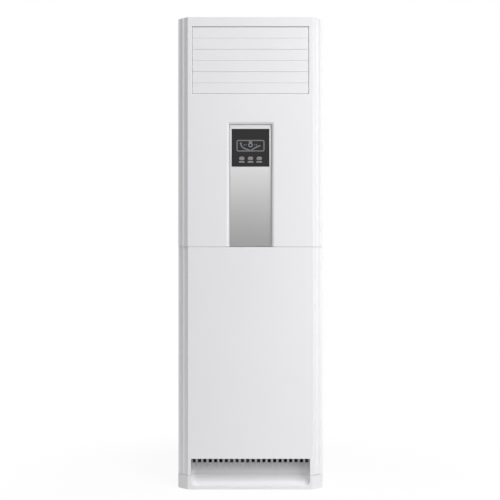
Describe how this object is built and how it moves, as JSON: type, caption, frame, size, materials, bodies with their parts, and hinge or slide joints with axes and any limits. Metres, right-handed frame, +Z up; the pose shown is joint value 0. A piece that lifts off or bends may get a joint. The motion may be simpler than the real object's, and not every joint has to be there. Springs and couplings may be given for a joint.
{
  "type": "floor standing air conditioner",
  "caption": "Tall floor standing air conditioner cabinet with a louvered outlet on top, a recessed control column and a hinged intake panel over a scooped base",
  "frame": {"origin": "on the floor under the middle of the cabinet", "axes": "+Z up, +X to the right seen from the front, +Y to the back"},
  "size_m": [0.54, 0.34, 1.75],
  "materials": {
    "front_plastic": "moulded, fine satin",
    "louver_plastic": "moulded, fine satin",
    "painted_sheet": "powder coat, satin",
    "silver_strip": "silver paint, satin",
    "window_black": "tinted, glossy",
    "button_grey": "moulded, satin",
    "grille_plastic": "moulded, satin",
    "inner_plastic": "moulded",
    "vane_plastic": "moulded",
    "filter_net": "fine net",
    "galvanised": "galvanised",
    "fan_plastic": "moulded",
    "coil_aluminium": "bare fins",
    "copper": "drawn tube",
    "foam": "expanded foam",
    "board_green": "lacquered board",
    "motor_grey": "satin",
    "rubber_black": "moulded"
  },
  "bodies": {
    "cabinet": {"upper_front_panel": "front_plastic", "base_plinth": "front_plastic", "left_side_panel": "painted_sheet", "right_side_panel": "painted_sheet", "back_panel": "painted_sheet", "top_cover": "painted_sheet", "base_pan": "painted_sheet", "cabinet_screws": "galvanised", "control_strip": "silver_strip", "display_window": "window_black", "display_box": "inner_plastic", "display_board": "board_green", "outlet_frame": "inner_plastic", "air_guide_foam": "foam", "evaporator_fins": "coil_aluminium", "evaporator_end_plates": "galvanised", "evaporator_tubes": "copper", "drain_pan": "inner_plastic", "gas_pipe": "copper", "liquid_pipe": "copper", "flare_nuts": "copper", "volute_back": "inner_plastic", "volute_front": "inner_plastic", "blower_motor": "motor_grey", "motor_bracket": "galvanised", "blower_deck": "galvanised", "electrical_box": "galvanised", "electrical_box_cover": "galvanised", "main_board": "board_green", "capacitor": "motor_grey", "transformer": "motor_grey", "terminal_block": "rubber_black", "cable_gland": "rubber_black", "louver_motor": "motor_grey", "vane_motor": "motor_grey"},
    "lower_panel": {"lower_front_panel": "front_plastic", "intake_grille": "grille_plastic", "filter_frame": "inner_plastic", "filter_mesh": "filter_net"},
    "impeller": {"blower_impeller": "fan_plastic", "motor_shaft": "galvanised"},
    "left_button": {"left_button": "button_grey"},
    "middle_button": {"middle_button": "button_grey"},
    "right_button": {"right_button": "button_grey"},
    "louver_link": {"louver_link": "vane_plastic"},
    "vane_link": {"vane_link": "vane_plastic"},
    "louver_1": {"louver_1": "louver_plastic"},
    "louver_2": {"louver_2": "louver_plastic"},
    "louver_3": {"louver_3": "louver_plastic"},
    "louver_4": {"louver_4": "louver_plastic"},
    "louver_5": {"louver_5": "louver_plastic"},
    "louver_6": {"louver_6": "louver_plastic"},
    "vane_1": {"vane_1": "vane_plastic"},
    "vane_2": {"vane_2": "vane_plastic"},
    "vane_3": {"vane_3": "vane_plastic"},
    "vane_4": {"vane_4": "vane_plastic"},
    "vane_5": {"vane_5": "vane_plastic"},
    "vane_6": {"vane_6": "vane_plastic"},
    "vane_7": {"vane_7": "vane_plastic"},
    "vane_8": {"vane_8": "vane_plastic"}
  },
  "joints": [
    {"name": "panel_tilt", "type": "hinge", "parent": "cabinet", "child": "lower_panel", "pos_m": [0, -0.17, 0.0507], "axis": [1, 0, 0], "range_deg": [0, 20]},
    {"name": "impeller_spin", "type": "hinge", "parent": "cabinet", "child": "impeller", "pos_m": [-0.015, 0, 0.33], "axis": [0, 1, 0], "continuous": true},
    {"name": "louver_1_swing", "type": "hinge", "parent": "cabinet", "child": "louver_1", "pos_m": [0, -0.1635, 1.6929], "axis": [-1, 0, 0], "range_deg": [0, 90]},
    {"name": "louver_2_swing", "type": "hinge", "parent": "cabinet", "child": "louver_2", "pos_m": [0, -0.1635, 1.6515], "axis": [-1, 0, 0], "range_deg": [0, 90]},
    {"name": "louver_3_swing", "type": "hinge", "parent": "cabinet", "child": "louver_3", "pos_m": [0, -0.1635, 1.6101], "axis": [-1, 0, 0], "range_deg": [0, 90]},
    {"name": "louver_4_swing", "type": "hinge", "parent": "cabinet", "child": "louver_4", "pos_m": [0, -0.1635, 1.5687], "axis": [-1, 0, 0], "range_deg": [0, 90]},
    {"name": "louver_5_swing", "type": "hinge", "parent": "cabinet", "child": "louver_5", "pos_m": [0, -0.1635, 1.5273], "axis": [-1, 0, 0], "range_deg": [0, 90]},
    {"name": "louver_6_swing", "type": "hinge", "parent": "cabinet", "child": "louver_6", "pos_m": [0, -0.1635, 1.4859], "axis": [-1, 0, 0], "range_deg": [0, 90]},
    {"name": "louver_link_pivot", "type": "hinge", "parent": "louver_1", "child": "louver_link", "pos_m": [0.2233, -0.15501, 1.70138], "axis": [-1, 0, 0], "range_deg": [-90, 0]},
    {"name": "vane_1_swing", "type": "hinge", "parent": "cabinet", "child": "vane_1", "pos_m": [-0.1785, -0.115, 1.59], "axis": [0, 0, 1], "range_deg": [-40, 40]},
    {"name": "vane_2_swing", "type": "hinge", "parent": "cabinet", "child": "vane_2", "pos_m": [-0.1275, -0.115, 1.59], "axis": [0, 0, 1], "range_deg": [-40, 40]},
    {"name": "vane_3_swing", "type": "hinge", "parent": "cabinet", "child": "vane_3", "pos_m": [-0.0765, -0.115, 1.59], "axis": [0, 0, 1], "range_deg": [-40, 40]},
    {"name": "vane_4_swing", "type": "hinge", "parent": "cabinet", "child": "vane_4", "pos_m": [-0.0255, -0.115, 1.59], "axis": [0, 0, 1], "range_deg": [-40, 40]},
    {"name": "vane_5_swing", "type": "hinge", "parent": "cabinet", "child": "vane_5", "pos_m": [0.0255, -0.115, 1.59], "axis": [0, 0, 1], "range_deg": [-40, 40]},
    {"name": "vane_6_swing", "type": "hinge", "parent": "cabinet", "child": "vane_6", "pos_m": [0.0765, -0.115, 1.59], "axis": [0, 0, 1], "range_deg": [-40, 40]},
    {"name": "vane_7_swing", "type": "hinge", "parent": "cabinet", "child": "vane_7", "pos_m": [0.1275, -0.115, 1.59], "axis": [0, 0, 1], "range_deg": [-40, 40]},
    {"name": "vane_8_swing", "type": "hinge", "parent": "cabinet", "child": "vane_8", "pos_m": [0.1785, -0.115, 1.59], "axis": [0, 0, 1], "range_deg": [-40, 40]},
    {"name": "vane_link_pivot", "type": "hinge", "parent": "vane_1", "child": "vane_link", "pos_m": [-0.1785, -0.101, 1.4538], "axis": [0, 0, 1], "range_deg": [-40, 40]},
    {"name": "left_button_press", "type": "slide", "parent": "cabinet", "child": "left_button", "axis": [0, 1, 0], "range_m": [0, 0.0012], "stiffness_N_per_m": 400, "springref_m": -0.0015},
    {"name": "middle_button_press", "type": "slide", "parent": "cabinet", "child": "middle_button", "axis": [0, 1, 0], "range_m": [0, 0.0012], "stiffness_N_per_m": 400, "springref_m": -0.0015},
    {"name": "right_button_press", "type": "slide", "parent": "cabinet", "child": "right_button", "axis": [0, 1, 0], "range_m": [0, 0.0012], "stiffness_N_per_m": 400, "springref_m": -0.0015}
  ],
  "couplings": [
    {"joint": "louver_2_swing", "follows": "louver_1_swing", "ratio": 1},
    {"joint": "louver_3_swing", "follows": "louver_1_swing", "ratio": 1},
    {"joint": "louver_4_swing", "follows": "louver_1_swing", "ratio": 1},
    {"joint": "louver_5_swing", "follows": "louver_1_swing", "ratio": 1},
    {"joint": "louver_6_swing", "follows": "louver_1_swing", "ratio": 1},
    {"joint": "louver_link_pivot", "follows": "louver_1_swing", "ratio": -1},
    {"joint": "vane_2_swing", "follows": "vane_1_swing", "ratio": 1},
    {"joint": "vane_3_swing", "follows": "vane_1_swing", "ratio": 1},
    {"joint": "vane_4_swing", "follows": "vane_1_swing", "ratio": 1},
    {"joint": "vane_5_swing", "follows": "vane_1_swing", "ratio": 1},
    {"joint": "vane_6_swing", "follows": "vane_1_swing", "ratio": 1},
    {"joint": "vane_7_swing", "follows": "vane_1_swing", "ratio": 1},
    {"joint": "vane_8_swing", "follows": "vane_1_swing", "ratio": 1},
    {"joint": "vane_link_pivot", "follows": "vane_1_swing", "ratio": -1}
  ]
}
